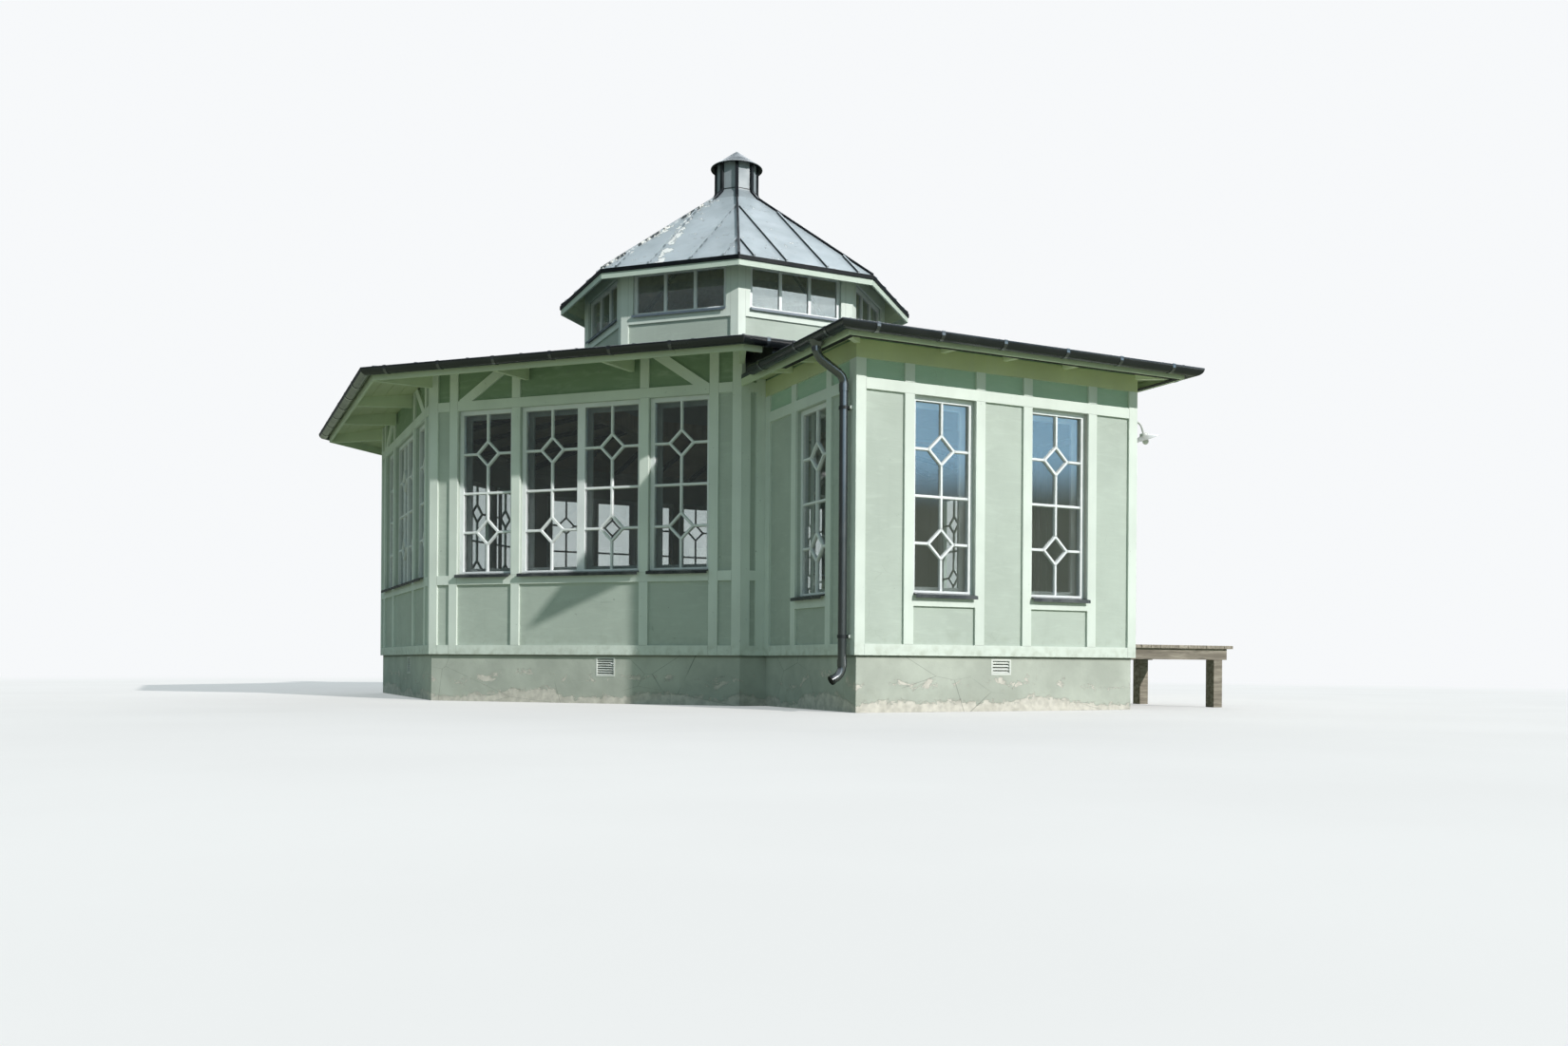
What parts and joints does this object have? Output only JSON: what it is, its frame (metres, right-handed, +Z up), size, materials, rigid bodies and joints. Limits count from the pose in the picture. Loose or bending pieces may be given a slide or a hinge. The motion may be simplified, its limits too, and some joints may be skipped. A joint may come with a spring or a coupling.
{
  "type": "garden pavilion with cupola",
  "caption": "Octagonal timber garden pavilion on a rendered plinth, with a glazed lantern and vent cap on its roof, a rectangular annex, half-round gutters and a plank landing.",
  "frame": {"origin": "middle of the plan's bounding box, on the underside of the plinth", "axes": "+Z up; the annex points along -Y and its entrance faces +X; +Y runs through the octagon to its back side"},
  "size_m": [9.9338, 11.4668, 7.1512],
  "materials": {
    "render": "painted cement render, flaked along the bottom",
    "vent_metal": "pale painted sheet",
    "floor_wood": "varnished floorboards",
    "panels": "sage paint with fine crackle",
    "boards": "pale mint paint",
    "white_wood": "white gloss paint",
    "glass": "clear window glass",
    "black_sheet": "satin black coated sheet",
    "door_paint": "sage paint, satin",
    "eave_wood": "pale green paint, weathered",
    "roof_sheet": "dark seamed roofing sheet",
    "gutter_sheet": "satin near-black coated sheet",
    "inner_wood": "plain brown wood",
    "blue_sheet": "blue-grey coated sheet, worn edge",
    "pale_sheet": "pale blue-grey roofing sheet, flaking",
    "seam_sheet": "dark seam sheet",
    "vent_sheet": "pale blue-grey sheet",
    "cap_sheet": "dark blue-grey sheet with a pale rim",
    "lamp_metal": "grey-white paint",
    "bulb_glass": "white opal glass",
    "deck_wood": "weathered grey-brown planks"
  },
  "bodies": {
    "root": {"plinth": "render", "plinth_vents": "vent_metal", "pavilion_floor": "floor_wood", "annex_floor": "floor_wood", "pavilion_wall_front": "panels", "pavilion_wall_front_left": "panels", "pavilion_wall_left": "panels", "pavilion_wall_back_left": "panels", "pavilion_wall_back": "panels", "pavilion_wall_back_right": "panels", "pavilion_wall_right": "panels", "pavilion_wall_front_right": "panels", "annex_wall_left": "panels", "annex_wall_end": "panels", "annex_wall_right": "panels", "pavilion_boards": "boards", "annex_boards": "boards", "pavilion_window_frames": "white_wood", "annex_window_frames": "white_wood", "window_glass": "glass", "window_sills": "black_sheet", "door_frame": "white_wood", "entrance_door": "door_paint", "pavilion_rafters": "eave_wood", "annex_rafters": "eave_wood", "pavilion_roof": "roof_sheet", "annex_roof": "roof_sheet", "pavilion_seams": "seam_sheet", "annex_seams": "seam_sheet", "eave_cheeks": "black_sheet", "pavilion_fascia": "eave_wood", "annex_fascia": "eave_wood", "pavilion_gutters": "gutter_sheet", "annex_gutters": "gutter_sheet", "downpipe": "gutter_sheet", "pipe_clamps": "gutter_sheet", "lantern_curb": "inner_wood", "lantern_walls": "panels", "lantern_boards": "boards", "lantern_window_frames": "white_wood", "lantern_glass": "glass", "lantern_sills": "blue_sheet", "lantern_fascia": "eave_wood", "lantern_drip_edge": "black_sheet", "lantern_roof": "pale_sheet", "lantern_seams": "seam_sheet", "vent_shaft": "vent_sheet", "vent_skirt": "vent_sheet", "vent_rolls": "seam_sheet", "vent_cap": "cap_sheet", "lamp_arm": "lamp_metal", "lamp_shade": "lamp_metal", "lamp_bulb": "bulb_glass", "landing_planks": "deck_wood", "landing_beams": "deck_wood", "landing_feet": "deck_wood"}
  },
  "joints": []
}
